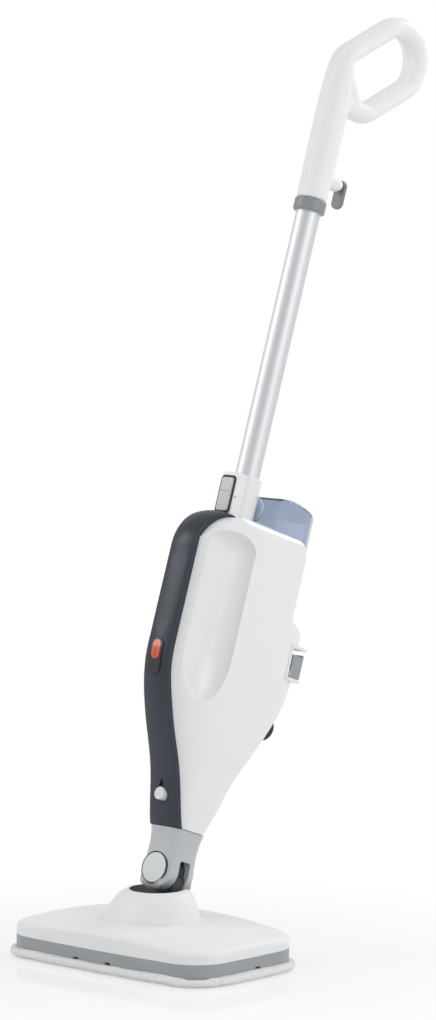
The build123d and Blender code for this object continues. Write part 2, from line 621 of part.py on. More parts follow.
def tank_valve():
    stem = cyl_z(6.8, TANK_BOTTOM - 8.5, TANK_BOTTOM, 0, SEAT_Y) + cyl_z(4.2, TANK_BOTTOM - 1, TANK_BOTTOM + 9, 0, SEAT_Y)
    return stem - cyl_z(2.0, TANK_BOTTOM - 10, TANK_BOTTOM + 6, 0, SEAT_Y)


def latch_frame():
    plates = span(-LATCH_HALF, LATCH_HALF, LATCH_FRONT, LATCH_BACK, LATCH_LOW, LATCH_HIGH)
    plates = fillet(plates.edges().filter_by(Axis.Z).group_by(Axis.Y)[-1], 3)
    plates -= span(-60, 60, LATCH_FRONT + 3, 140, LATCH_LOW + 3, LATCH_HIGH - 3)
    for side in (-1, 1):
        lug = span(*sorted((side * 30, side * 35)), LATCH_FRONT + 2, LATCH_PIN_Y + 4, LATCH_PIN_Z - 8, LATCH_PIN_Z + 4)
        plates += lug - cyl_x(2, -60, 60, LATCH_PIN_Y, LATCH_PIN_Z)
    return plates


def latch_pin():
    return cyl_x(2, -40, 40, LATCH_PIN_Y, LATCH_PIN_Z)


def tank_latch():
    pad = span(-40, 40, LATCH_BACK - 5, LATCH_BACK - 2, LATCH_LOW + 4.5, LATCH_HIGH - 8)
    for i in range(7):
        z = LATCH_LOW + 8 + i * 3.6
        pad += span(-38, 38, LATCH_BACK - 3, LATCH_BACK - 0.8, z - 0.9, z + 0.9)
    for side in (-1, 1):
        inner, outer = sorted((side * 36, side * 40))
        ear = span(inner, outer, LATCH_PIN_Y, LATCH_BACK - 4, LATCH_PIN_Z - 4.5, LATCH_HIGH - 10)
        ear += cyl_x(4.5, inner, outer, LATCH_PIN_Y, LATCH_PIN_Z)
        pad += ear - cyl_x(2 + FIT, -60, 60, LATCH_PIN_Y, LATCH_PIN_Z)
    return pad


def latch_spring():
    return span(-8, 8, LATCH_FRONT + 3, LATCH_FRONT + 3.6, LATCH_LOW + 4, LATCH_HIGH - 5)


# Wand and handle


def tube_socket():
    body = cyl_z(SOCKET_RADIUS, SOCKET_LOW, SOCKET_TOP, 0, TUBE_Y)
    front = span(-12.5, 12.5, LEVER_FACE + 3, TUBE_Y, 432, SOCKET_TOP)
    front = fillet(front.edges().filter_by(Axis.Z).group_by(Axis.Y)[0], 3)
    body += front
    body = fillet(body.edges().group_by(Axis.Z)[-1], 1.5)
    body -= cyl_z(TUBE_RADIUS, SOCKET_LOW + 4, SOCKET_TOP + 1, 0, TUBE_Y)
    half = LEVER_HALF + GAP
    body -= span(-half, half, LEVER_FACE - 5, -39, LEVER_LOW - 0.6, LEVER_HIGH + 0.6)
    return body - cyl_x(1.5, -20, 20, LEVER_PIN_Y, LEVER_PIN_Z)


def lever_pin():
    return cyl_x(1.5, -12.4, 12.4, LEVER_PIN_Y, LEVER_PIN_Z)


def tube_lever():
    lever = span(-LEVER_HALF, LEVER_HALF, LEVER_FACE, LEVER_FACE + 8, LEVER_LOW, LEVER_HIGH)
    lever = fillet(lever.edges().filter_by(Axis.Y), 3)
    lever = fillet(lever.faces().sort_by(Axis.Y)[0].edges(), 1.2)
    lever -= span(-20, 20, LEVER_FACE + 4.5, 0, 440, LEVER_PIN_Z - 5)
    lever -= span(-20, 20, LEVER_FACE + 4.5, 0, LEVER_PIN_Z + 5, 500)
    lever -= span(-20, 20, LEVER_FACE - 1, LEVER_FACE + 0.8, LEVER_PIN_Z + 4.2, LEVER_PIN_Z + 5.6)
    return lever - cyl_x(1.5 + FIT, -20, 20, LEVER_PIN_Y, LEVER_PIN_Z)


def lever_spring():
    return span(-4, 4, -39.6, -39.0, LEVER_LOW, LEVER_PIN_Z - 4)


def wand_tube():
    return cyl_z(TUBE_RADIUS, TUBE_LOW, TUBE_HIGH, 0, TUBE_Y) - cyl_z(TUBE_RADIUS - TUBE_WALL, 390, 900, 0, TUBE_Y)


def tube_collar():
    ring = cyl_z(COLLAR_RADIUS, COLLAR_LOW, COLLAR_HIGH, 0, TUBE_Y)
    ring = fillet(ring.edges().filter_by(GeomType.CIRCLE), 1.5)
    return ring - cyl_z(TUBE_RADIUS, 700, 900, 0, TUBE_Y)


def handle_form(inset):
    grip = loft([Pos(0, TUBE_Y, z) * Ellipse(wide - inset, deep - inset) for z, wide, deep in GRIP])
    path = FilletPolyline(*[(0, y, z) for y, z in LOOP], radius=LOOP_RADII)
    bar = Plane(path @ 0, x_dir=(1, 0, 0), z_dir=path % 0) * Ellipse(GRIP[-1][1] - inset, GRIP[-1][2] - inset)
    bar = sweep(bar, path)
    return grip + bar


def handle():
    body = handle_form(0) - handle_form(WALL)
    body += cyl_z(GRIP[0][1] - 2, COLLAR_HIGH, TUBE_HIGH + 2, 0, TUBE_Y)
    body -= cyl_z(TUBE_RADIUS, 700, TUBE_HIGH, 0, TUBE_Y)
    solid = handle_form(0.5)
    for y, z in HANDLE_BOSSES:
        body += cyl_x(4.5, -GRIP[0][1], GRIP[0][1], y, z) & solid
    body += cyl_y(8.5, TUBE_Y + TUBE_RADIUS + 0.5, HOOK_FACE - 8, 0, HOOK_Z)
    body += Pos(0, HOOK_FACE - 6.2, HOOK_Z) * Rot(-90, 0, 0) * Cone(8.5, 6.0, 12)
    body -= cyl_z(TUBE_RADIUS, 700, TUBE_HIGH, 0, TUBE_Y)
    body -= cyl_y(1.8, TUBE_Y + TUBE_RADIUS + 2, 60, 0, HOOK_Z)
    for y, z in HANDLE_BOSSES:
        body -= cyl_x(1.6, -30, 8, y, z)
        body -= cyl_x(3.2, -30, -8, y, z)
    return body


def handle_screws():
    screws = [cyl_x(1.6, -9, 8, y, z) + cyl_x(3.1, -11, -8.5, y, z) for y, z in HANDLE_BOSSES]
    return group(*screws)


def cord_hook():
    plate = extrude(Pos(0, 0, HOOK_Z - 9.5) * (Plane.XZ * SlotOverall(34, 15, rotation=90)), amount=-5)
    plate = Pos(0, HOOK_FACE + HOOK_GAP, 0) * plate
    plate = fillet(plate.faces().sort_by(Axis.Y)[-1].edges(), 1.5)
    plate -= cyl_y(1.8 + FIT, 0, 60, 0, HOOK_Z)
    return plate - cyl_y(3.4, HOOK_FACE + 3.4, 60, 0, HOOK_Z)


def hook_screw():
    return cyl_y(1.8, TUBE_Y + TUBE_RADIUS + 3, HOOK_FACE + 4.2, 0, HOOK_Z) + cyl_y(3.0, HOOK_FACE + 4.2, HOOK_FACE + 5.4, 0, HOOK_Z)


def build():
    outer = body_outer()
    right = right_shell(outer)
    band = band_solid()
    loop_handle = handle()
    head = {
        "mop_pad": mop_pad(), "hook_strips": hook_strips(), "head_base": head_base(),
        "steam_distributor": steam_distributor(), "head_hose": head_hose(), "head_cover": head_cover(),
        "cover_screws": cover_screws(), "pitch_pin": pitch_pin(), "pitch_bushes": pitch_bushes(),
    }
    upper = {
        "knuckle": knuckle(), "neck": neck(), "roll_pin": roll_pin(),
        "roll_cap_front": roll_cap(-1), "roll_cap_rear": roll_cap(1),
        "right_shell": right, "left_shell": left_shell(right), "shell_screws": shell_screws(),
        "front_spine": front_spine(band, outer), "steam_button": steam_button(band),
        "indicator_lens": indicator_lens(band), "release_button": release_button(),
        "release_spring": release_spring(),
        "boiler": boiler(), "boiler_heater": boiler_heater(), "thermostat": thermostat(),
        "thermal_fuse": thermal_fuse(), "pump": pump(), "pump_mounts": pump_mounts(),
        "water_hose": water_hose(), "feed_hose": feed_hose(), "steam_hose": steam_hose(),
        "tank_seat": tank_seat(), "tank_seat_seal": tank_seat_seal(),
        "control_board": control_board(), "switch_module": switch_module(), "terminal_block": terminal_block(),
        "cord_gland": cord_gland(),
        "water_tank": water_tank(), "tank_cap": tank_cap(), "tank_valve": tank_valve(),
        "latch_frame": latch_frame(), "latch_pin": latch_pin(), "tank_latch": tank_latch(),
        "latch_spring": latch_spring(),
        "tube_socket": tube_socket(), "lever_pin": lever_pin(), "tube_lever": tube_lever(),
        "lever_spring": lever_spring(),
        "wand_tube": wand_tube(), "tube_collar": tube_collar(),
        "handle_right": half_of(loop_handle, 1), "handle_left": half_of(loop_handle, -1),
        "handle_screws": handle_screws(), "cord_hook": cord_hook(), "hook_screw": hook_screw(),
    }
    return head | {name: leaned(shape) for name, shape in upper.items()}


def main():
    os.makedirs("parts", exist_ok=True)
    for name, shape in build().items():
        export_step(shape, f"parts/{name}.step")


if __name__ == "__main__":
    main()
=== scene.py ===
import json
import math

import bmesh
import bpy
from mathutils import Matrix, Vector
from mathutils.bvhtree import BVHTree


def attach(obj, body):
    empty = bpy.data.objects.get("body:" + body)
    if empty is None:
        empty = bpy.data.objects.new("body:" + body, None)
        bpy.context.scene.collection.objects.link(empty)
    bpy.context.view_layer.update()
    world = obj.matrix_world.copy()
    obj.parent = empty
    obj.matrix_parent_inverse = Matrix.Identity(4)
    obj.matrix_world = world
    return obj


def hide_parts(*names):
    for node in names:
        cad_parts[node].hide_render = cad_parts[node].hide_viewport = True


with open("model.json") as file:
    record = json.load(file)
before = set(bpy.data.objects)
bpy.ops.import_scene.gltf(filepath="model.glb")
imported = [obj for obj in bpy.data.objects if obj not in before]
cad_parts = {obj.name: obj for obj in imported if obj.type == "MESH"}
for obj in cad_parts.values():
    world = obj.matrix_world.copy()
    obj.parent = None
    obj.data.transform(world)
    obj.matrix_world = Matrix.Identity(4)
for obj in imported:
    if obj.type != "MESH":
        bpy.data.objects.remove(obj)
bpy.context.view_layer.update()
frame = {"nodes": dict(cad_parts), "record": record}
print("frame loaded:", len(frame["nodes"]), "nodes")

# The upper half of the mop leans back about its tilt pin. Its pieces are drawn upright, in mm from that pin,
# and toFrame leans them back into their place in the frame.
lean = {"degrees": 19.15, "pinY": 11.0, "pinZ": 53.2}
leanBack = Matrix.Rotation(math.radians(-lean["degrees"]), 4, "X")
tiltPin = Vector((0, lean["pinY"], lean["pinZ"])) / 1000
toFrame = Matrix.Translation(tiltPin) @ leanBack @ Matrix.Scale(0.001, 4)
toUpright = toFrame.inverted()


def linear(hexCode):
    channels = [int(hexCode[i:i + 2], 16) / 255 for i in (0, 2, 4)]
    return tuple(c / 12.92 if c <= 0.04045 else ((c + 0.055) / 1.055) ** 2.4 for c in channels) + (1.0,)


def addNode(tree, kind, settings=None, links=None):
    node = tree.nodes.new(kind)
    for key, value in (settings or {}).items():
        if isinstance(key, int) or key in node.inputs:
            node.inputs[key].default_value = value
        else:
            setattr(node, key, value)
    for key, source in (links or {}).items():
        tree.links.new(source, node.inputs[key])
    return node


def newMaterial(name):
    mat = bpy.data.materials.new(name)
    mat.use_nodes = True
    return mat, mat.node_tree, mat.node_tree.nodes["Principled BSDF"]


# Moulded plastics and rubbers: a faint cloud in the tone, a spark-eroded grain in the gloss, a very low bump.
# The grain is about 0.3 mm on the real mouldings; it is drawn at 1.2 mm so that it shows at all.
plastics = {
    # ABS from a polished mould, with a soft clear highlight
    "whiteAbs": {"tone": "EEEFF0", "deep": "E9EAEB", "rough": (0.24, 0.34), "bump": 0.05, "ior": 1.54,
                 "coat": 0.10},
    "capGrey": {"tone": "DFE2E4", "deep": "D7DADC", "rough": (0.26, 0.36), "bump": 0.05, "ior": 1.54,
                "coat": 0.05},
    "paleBlue": {"tone": "CBD5E8", "deep": "C0CBE0", "rough": (0.22, 0.32), "bump": 0.05, "ior": 1.52,
                 "coat": 0.10},
    # ABS from a grained mould, with a broad dull highlight
    "coverAbs": {"tone": "EEEFF0", "deep": "E9EAEB", "rough": (0.42, 0.52), "bump": 0.06, "ior": 1.50},
    "handleAbs": {"tone": "F0F1F2", "deep": "EBECED", "rough": (0.40, 0.50), "bump": 0.06, "ior": 1.50},
    "bandGrey": {"tone": "A2A6A9", "deep": "999DA0", "rough": (0.40, 0.52), "bump": 0.10, "ior": 1.52},
    "neckGrey": {"tone": "C2C6C9", "deep": "BABEC1", "rough": (0.36, 0.48), "bump": 0.10, "ior": 1.52},
    "leverGrey": {"tone": "CBCED0", "deep": "C3C6C8", "rough": (0.34, 0.45), "bump": 0.08, "ior": 1.52},
    "latchGrey": {"tone": "9EA2A6", "deep": "95999D", "rough": (0.36, 0.48), "bump": 0.08, "ior": 1.52},
    "collarGrey": {"tone": "8F9497", "deep": "85898C", "rough": (0.34, 0.45), "bump": 0.08, "ior": 1.52},
    "hookGrey": {"tone": "7E8083", "deep": "747679", "rough": (0.36, 0.48), "bump": 0.08, "ior": 1.52},
    # Dark mouldings, on which the highlight shows most
    "anthracite": {"tone": "2A3340", "deep": "242C38", "rough": (0.30, 0.40), "bump": 0.06, "ior": 1.46},
    "bezelDark": {"tone": "26292D", "deep": "212428", "rough": (0.30, 0.40), "bump": 0.06, "ior": 1.54},
    "knuckleGrey": {"tone": "36383B", "deep": "2E3033", "rough": (0.42, 0.55), "bump": 0.12, "ior": 1.52},
    "innerBlack": {"tone": "2A2B2D", "deep": "222325", "rough": (0.45, 0.60), "bump": 0.10, "ior": 1.52},
    # Board lacquer, dull hook tape, rubber and milky silicone
    "boardGreen": {"tone": "2F6B43", "deep": "285C39", "rough": (0.35, 0.50), "bump": 0.10, "ior": 1.50},
    "hookTape": {"tone": "4A4C4F", "deep": "3E4043", "rough": (0.80, 0.95), "bump": 0.60, "ior": 1.50},
    "rubberAndGapShade": {"tone": "2C2D2F", "deep": "242527", "rough": (0.62, 0.78), "bump": 0.14, "ior": 1.50},
    "siliconeHose": {"tone": "C9C7C0", "deep": "BEBCB5", "rough": (0.48, 0.60), "bump": 0.08, "ior": 1.43},
}
grain = {"cloudMm": 60.0, "grainMm": 1.2, "reliefMm": 0.4, "coatRough": 0.12}


# A colour mix has its colours in sockets 6 and 7 and its result in output 2
def mouldedPlastic(name, look):
    mat, tree, shader = newMaterial(name)
    place = addNode(tree, "ShaderNodeTexCoord").outputs["Object"]
    cloud = addNode(tree, "ShaderNodeTexNoise", {"Scale": 1000 / grain["cloudMm"], "Detail": 3.0},
                    {"Vector": place})
    fine = addNode(tree, "ShaderNodeTexNoise", {"Scale": 1000 / grain["grainMm"], "Detail": 2.0},
                   {"Vector": place})
    tone = addNode(tree, "ShaderNodeMix",
                   {"data_type": "RGBA", 6: linear(look["deep"]), 7: linear(look["tone"])},
                   {0: cloud.outputs["Fac"]})
    low, high = look["rough"]
    gloss = addNode(tree, "ShaderNodeMapRange", {"To Min": low, "To Max": high},
                    {"Value": fine.outputs["Fac"]})
    relief = addNode(tree, "ShaderNodeBump",
                     {"Strength": look["bump"], "Distance": grain["reliefMm"] / 1000},
                     {"Height": fine.outputs["Fac"]})
    shader.inputs["IOR"].default_value = look["ior"]
    shader.inputs["Coat Weight"].default_value = look.get("coat", 0.0)
    shader.inputs["Coat Roughness"].default_value = grain["coatRough"]
    tree.links.new(tone.outputs[2], shader.inputs["Base Color"])
    tree.links.new(gloss.outputs["Result"], shader.inputs["Roughness"])
    tree.links.new(relief.outputs["Normal"], shader.inputs["Normal"])
    return mat


# Drawn aluminium tube, satin anodised: fine streaks along the wand, 0.4 mm apart, drawn at 1 mm so they show
satin = {"tone": "E4E6E8", "deep": "D8DADD", "rough": (0.48, 0.60), "streakMm": 1.0, "squeeze": 0.02,
         "bump": 0.08, "reliefMm": 0.3}


def satinAluminium():
    mat, tree, shader = newMaterial("satinAluminium")
    place = addNode(tree, "ShaderNodeTexCoord").outputs["Object"]
    along = addNode(tree, "ShaderNodeMapping", {"Rotation": (math.radians(lean["degrees"]), 0, 0)},
                    {"Vector": place})
    squeeze = addNode(tree, "ShaderNodeMapping", {"Scale": (1, 1, satin["squeeze"])},
                      {"Vector": along.outputs["Vector"]})
    streaks = addNode(tree, "ShaderNodeTexNoise", {"Scale": 1000 / satin["streakMm"], "Detail": 3.0},
                      {"Vector": squeeze.outputs["Vector"]})
    tone = addNode(tree, "ShaderNodeMix",
                   {"data_type": "RGBA", 6: linear(satin["deep"]), 7: linear(satin["tone"])},
                   {0: streaks.outputs["Fac"]})
    low, high = satin["rough"]
    gloss = addNode(tree, "ShaderNodeMapRange", {"To Min": low, "To Max": high},
                    {"Value": streaks.outputs["Fac"]})
    relief = addNode(tree, "ShaderNodeBump",
                     {"Strength": satin["bump"], "Distance": satin["reliefMm"] / 1000},
                     {"Height": streaks.outputs["Fac"]})
    shader.inputs["Metallic"].default_value = 1.0
    tree.links.new(tone.outputs[2], shader.inputs["Base Color"])
    tree.links.new(gloss.outputs["Result"], shader.inputs["Roughness"])
    tree.links.new(relief.outputs["Normal"], shader.inputs["Normal"])
    return mat


# Bright steel of pins and screws, turned, with light scuffs; the boiler is die-cast, duller and grainy
metals = {
    "brightSteel": {"tone": "C6C8CA", "deep": "A9ABAE", "rough": (0.22, 0.38), "grainMm": 1.5},
    "dieCast": {"tone": "B4B5B6", "deep": "96979A", "rough": (0.42, 0.60), "grainMm": 2.5},
}


def bareMetal(name, look):
    mat, tree, shader = newMaterial(name)
    place = addNode(tree, "ShaderNodeTexCoord").outputs["Object"]
    scuff = addNode(tree, "ShaderNodeTexNoise", {"Scale": 1000 / look["grainMm"], "Detail": 4.0},
                    {"Vector": place})
    tone = addNode(tree, "ShaderNodeMix",
                   {"data_type": "RGBA", 6: linear(look["deep"]), 7: linear(look["tone"])},
                   {0: scuff.outputs["Fac"]})
    low, high = look["rough"]
    gloss = addNode(tree, "ShaderNodeMapRange", {"To Min": low, "To Max": high},
                    {"Value": scuff.outputs["Fac"]})
    shader.inputs["Metallic"].default_value = 1.0
    tree.links.new(tone.outputs[2], shader.inputs["Base Color"])
    tree.links.new(gloss.outputs["Result"], shader.inputs["Roughness"])
    return mat


# Moulded clear blue plastic: see-through, smooth, with a faint cloud in its tint
tankLook = {"tone": "CCD4E1", "deep": "C2CCDC", "rough": 0.05, "ior": 1.45, "clear": 0.94, "cloudMm": 40.0}


def tankBlue():
    mat, tree, shader = newMaterial("clearBluePlastic")
    place = addNode(tree, "ShaderNodeTexCoord").outputs["Object"]
    cloud = addNode(tree, "ShaderNodeTexNoise", {"Scale": 1000 / tankLook["cloudMm"], "Detail": 2.0},
                    {"Vector": place})
    tone = addNode(tree, "ShaderNodeMix",
                   {"data_type": "RGBA", 6: linear(tankLook["deep"]), 7: linear(tankLook["tone"])},
                   {0: cloud.outputs["Fac"]})
    shader.inputs["Roughness"].default_value = tankLook["rough"]
    shader.inputs["IOR"].default_value = tankLook["ior"]
    shader.inputs["Transmission Weight"].default_value = tankLook["clear"]
    tree.links.new(tone.outputs[2], shader.inputs["Base Color"])
    return mat


# Lamp lens: orange tinted acrylic, polished, paler and deeper in soft upright bands.
# A wave texture of scale s repeats every 2 pi / (20 s).
lensLook = {"tone": "E2683C", "deep": "C9502A", "bandMm": 12.566, "rough": 0.16, "coat": 0.4}


def lensOrange():
    mat, tree, shader = newMaterial("orangeLens")
    place = addNode(tree, "ShaderNodeTexCoord").outputs["Object"]
    bands = addNode(tree, "ShaderNodeTexWave",
                    {"Scale": 1000 * math.tau / 20 / lensLook["bandMm"], "Distortion": 0.0},
                    {"Vector": place})
    tone = addNode(tree, "ShaderNodeMix",
                   {"data_type": "RGBA", 6: linear(lensLook["deep"]), 7: linear(lensLook["tone"])},
                   {0: bands.outputs["Fac"]})
    shader.inputs["Roughness"].default_value = lensLook["rough"]
    shader.inputs["Coat Weight"].default_value = lensLook["coat"]
    tree.links.new(tone.outputs[2], shader.inputs["Base Color"])
    return mat


# Looped microfibre: loops about 2 mm apart, fuzzy, soft white, with painted shade: grey between the loops,
# where the surface sinks
terryLook = {"tone": "FAFAF9", "deep": "E2E3E3", "loopMm": 2.0, "fuzzMm": 1.4, "bump": 0.7, "reliefMm": 1.2,
             "rough": 0.95, "sheen": 0.35, "sheenRough": 0.5}


def terryCloth():
    mat, tree, shader = newMaterial("loopedMicrofibre")
    place = addNode(tree, "ShaderNodeTexCoord").outputs["Object"]
    loops = addNode(tree, "ShaderNodeTexVoronoi", {"Scale": 1000 / terryLook["loopMm"]}, {"Vector": place})
    fuzz = addNode(tree, "ShaderNodeTexNoise", {"Scale": 1000 / terryLook["fuzzMm"], "Detail": 4.0},
                   {"Vector": place})
    # Painted shade: the cloth greys towards the low places between the loops, on the same pattern that sets
    # the relief
    tone = addNode(tree, "ShaderNodeMix",
                   {"data_type": "RGBA", 6: linear(terryLook["tone"]), 7: linear(terryLook["deep"])},
                   {0: loops.outputs["Distance"]})
    height = addNode(tree, "ShaderNodeMath", {"operation": "SUBTRACT"},
                     {0: fuzz.outputs["Fac"], 1: loops.outputs["Distance"]})
    relief = addNode(tree, "ShaderNodeBump",
                     {"Strength": terryLook["bump"], "Distance": terryLook["reliefMm"] / 1000},
                     {"Height": height.outputs["Value"]})
    shader.inputs["Roughness"].default_value = terryLook["rough"]
    shader.inputs["Sheen Weight"].default_value = terryLook["sheen"]
    shader.inputs["Sheen Roughness"].default_value = terryLook["sheenRough"]
    tree.links.new(tone.outputs[2], shader.inputs["Base Color"])
    tree.links.new(relief.outputs["Normal"], shader.inputs["Normal"])
    return mat


finishes = {name: mouldedPlastic(name, look) for name, look in plastics.items()}
finishes.update({name: bareMetal(name, look) for name, look in metals.items()})
finishes["satinAluminium"] = satinAluminium()
finishes["clearBluePlastic"] = tankBlue()
finishes["orangeLens"] = lensOrange()
finishes["loopedMicrofibre"] = terryCloth()
slotFinish = {
    "terry": "loopedMicrofibre", "hook_tape": "hookTape", "band_grey": "bandGrey",
    "inner_black": "innerBlack", "soft_black": "rubberAndGapShade", "hose": "siliconeHose", "white": "whiteAbs",
    "steel": "brightSteel", "knuckle_grey": "knuckleGrey", "neck_grey": "neckGrey", "cap_grey": "capGrey",
    "anthracite": "anthracite", "cast_aluminium": "dieCast", "board_green": "boardGreen",
    "tube_aluminium": "satinAluminium", "collar_grey": "collarGrey", "hook_grey": "hookGrey",
    "orange_lens": "orangeLens", "blue_tank": "clearBluePlastic", "blue_cap": "paleBlue",
}
# These differ from the finish of their slot
ownFinish = {"head_cover": "coverAbs", "steam_button": "bezelDark", "tank_latch": "latchGrey",
             "tube_lever": "leverGrey"}
for entry in frame["record"]["subparts"]:
    name = entry["node"]
    finish = ownFinish.get(name, slotFinish[entry["material_slot"]])
    frame["nodes"][name].data.materials.clear()
    frame["nodes"][name].data.materials.append(finishes[finish])


def newObject(name, mesh):
    piece = bpy.data.objects.new(name, mesh)
    bpy.context.scene.collection.objects.link(piece)
    return piece


def newPiece(name, bm, finish):
    mesh = bpy.data.meshes.new(name)
    bm.to_mesh(mesh)
    bm.free()
    mesh.materials.append(finishes[finish])
    return newObject(name, mesh)


def applyModifiers(piece):
    graph = bpy.context.evaluated_depsgraph_get()
    shaped = bpy.data.meshes.new_from_object(piece.evaluated_get(graph))
    piece.modifiers.clear()
    piece.data = shaped


def voxelRemesh(piece, voxelMm):
    remesh = piece.modifiers.new("remesh", "REMESH")
    remesh.mode = "VOXEL"
    remesh.voxel_size = voxelMm / 1000


def smoothFaces(mesh):
    for polygon in mesh.polygons:
        polygon.use_smooth = True


# The pad: the plain pad drawn in a little, remeshed, puffed by a cloth pressure run, then looped all over.
# It stays flat on the floor and under the tray that presses on it.
padForm = {
    "mergeMm": 0.02, "shrinkMm": 0.8, "voxelMm": 4.0, "pressure": 4.0, "quality": 4, "frames": 20,
    "moveCapMm": 1.6, "loopMm": 0.9, "loopSizeMm": 2.6, "loopDepth": 2, "loopLevel": 0.4,
    "trayX": 147.0, "trayY": 83.0, "trayLow": 8.4,
}


def inflate(piece):
    start = [vertex.co.copy() for vertex in piece.data.vertices]
    cloth = piece.modifiers.new("stuffing", "CLOTH")
    cloth.settings.use_pressure = True
    cloth.settings.uniform_pressure_force = padForm["pressure"]
    cloth.settings.effector_weights.gravity = 0.0
    cloth.settings.quality = padForm["quality"]
    cloth.point_cache.frame_end = padForm["frames"]
    for number in range(1, padForm["frames"] + 1):
        bpy.context.scene.frame_set(number)
    applyModifiers(piece)
    bpy.context.scene.frame_set(1)
    cap = padForm["moveCapMm"] / 1000
    for vertex, place in zip(piece.data.vertices, start):
        move = vertex.co - place
        if move.length > cap:
            vertex.co = place + move * (cap / move.length)


def addLoops(piece):
    finer = piece.modifiers.new("finer", "SUBSURF")
    finer.levels = 1
    loops = bpy.data.textures.new("loops", "CLOUDS")
    loops.noise_scale = padForm["loopSizeMm"] / 1000
    loops.noise_depth = padForm["loopDepth"]
    bumps = piece.modifiers.new("loops", "DISPLACE")
    bumps.texture = loops
    bumps.texture_coords = "LOCAL"
    bumps.strength = padForm["loopMm"] / 1000
    bumps.mid_level = padForm["loopLevel"]
    applyModifiers(piece)


def keepFlat(mesh):
    for vertex in mesh.vertices:
        vertex.co.z = max(vertex.co.z, 0.0)
        underTray = abs(vertex.co.x) * 1000 < padForm["trayX"] and abs(vertex.co.y) * 1000 < padForm["trayY"]
        if underTray:
            vertex.co.z = min(vertex.co.z, padForm["trayLow"] / 1000)


def softPad():
    bm = bmesh.new()
    bm.from_mesh(frame["nodes"]["mop_pad"].data)
    bmesh.ops.remove_doubles(bm, verts=bm.verts, dist=padForm["mergeMm"] / 1000)
    bm.normal_update()
    for vertex in bm.verts:
        vertex.co -= vertex.normal * (padForm["shrinkMm"] / 1000)
    pad = newPiece("terryPad", bm, "loopedMicrofibre")
    voxelRemesh(pad, padForm["voxelMm"])
    applyModifiers(pad)
    inflate(pad)
    addLoops(pad)
    keepFlat(pad.data)
    smoothFaces(pad.data)
    return pad


terryPad = softPad()
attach(terryPad, "head")
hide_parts("mop_pad")
print("pad made:", len(terryPad.data.polygons), "faces")


# The handle: a round grip whose top runs into the loop over soft blends, moulded in two halves, in mm.
# A level is height, middle, half width, half depth; a move is a run, then the radius and degrees of a turn.
handleForm = {
    "grip": [(828.3, -19.5, 17.4, 17.4), (876.0, -19.0, 18.4, 18.4), (936.0, -19.0, 18.6, 19.0),
             (966.0, -20.4, 17.6, 16.6), (994.0, -21.4, 16.0, 12.6)],
    "bar": (16.0, 12.0), "start": (-21.0, 985.0),
    "moves": [(4.5, 24.0, 49.0), (71.8, 36.0, 131.0), (4.6, 34.0, 49.3), (67.3, 20.0, 40.7),
              (44.0, 0.0, 0.0)],
    "web": {"start": (-22.5, 983.0), "heading": 138.0, "run": 49.0},
    "boss": {"y": -10.0, "z": 858.0, "wide": 8.9, "run": 24.0, "narrow": 6.4, "taper": 7.8},
    "fin": {"start": (-5.0, 888.0), "heading": 168.0, "half": (2.6, 6.5), "run": 26.0},
    "voxelMm": 1.5, "smooth": 14, "partingMm": 0.12, "ovalSides": 48, "turnStep": 6.0, "sharp": 40.0,
    "screws": [(-19.5, 888.0), (-19.5, 980.0), (38.0, 1052.4), (66.0, 977.3)],
    "recess": {"radius": 3.4, "depth": 8.4, "reach": 20.0, "sides": 32},
}


def heading(degrees):
    return Vector((0, math.sin(math.radians(degrees)), math.cos(math.radians(degrees))))


def ovalFace(bm, place, degrees, half):
    disc = bmesh.ops.create_circle(bm, cap_ends=True, segments=handleForm["ovalSides"], radius=1.0)["verts"]
    turn = Matrix.Rotation(math.radians(-degrees), 4, "X")
    stretch = Matrix.Diagonal((*half, 1, 1))
    bmesh.ops.transform(bm, matrix=Matrix.Translation(place) @ turn @ stretch, verts=disc)
    return disc[0].link_faces[0]


def pushFace(bm, face, move):
    pushed = bmesh.ops.extrude_face_region(bm, geom=[face])["geom"]
    face = next(item for item in pushed if isinstance(item, bmesh.types.BMFace))
    bmesh.ops.translate(bm, vec=move, verts=face.verts)
    return face


def ovalBar(bm, start, degrees, half, moves):
    place = Vector((0, *start))
    face = ovalFace(bm, place, degrees, half)
    for run, radius, turn in moves:
        face = pushFace(bm, face, heading(degrees) * run)
        place += heading(degrees) * run
        if turn:
            centre = place + heading(degrees + 90) * radius
            spun = bmesh.ops.spin(bm, geom=[face], cent=centre, axis=(1, 0, 0), angle=math.radians(-turn),
                                  steps=round(turn / handleForm["turnStep"]), space=Matrix())["geom_last"]
            face = next(item for item in spun if isinstance(item, bmesh.types.BMFace))
            degrees += turn
            place = centre - heading(degrees + 90) * radius


def ovalStack(bm, levels):
    z, y, wide, deep = levels[0]
    face = ovalFace(bm, Vector((0, y, z)), 0, (wide, deep))
    for nextZ, nextY, nextWide, nextDeep in levels[1:]:
        face = pushFace(bm, face, (0, nextY - y, nextZ - z))
        middle = Matrix.Translation((0, -nextY, -nextZ))
        bmesh.ops.scale(bm, vec=(nextWide / wide, nextDeep / deep, 1), space=middle, verts=face.verts)
        z, y, wide, deep = nextZ, nextY, nextWide, nextDeep


def hookBoss(bm, boss):
    face = ovalFace(bm, Vector((0, boss["y"], boss["z"])), 90, (boss["wide"], boss["wide"]))
    face = pushFace(bm, face, (0, boss["run"], 0))
    face = pushFace(bm, face, (0, boss["taper"], 0))
    middle = Matrix.Translation(-face.calc_center_median())
    share = boss["narrow"] / boss["wide"]
    bmesh.ops.scale(bm, vec=(share, 1, share), space=middle, verts=face.verts)


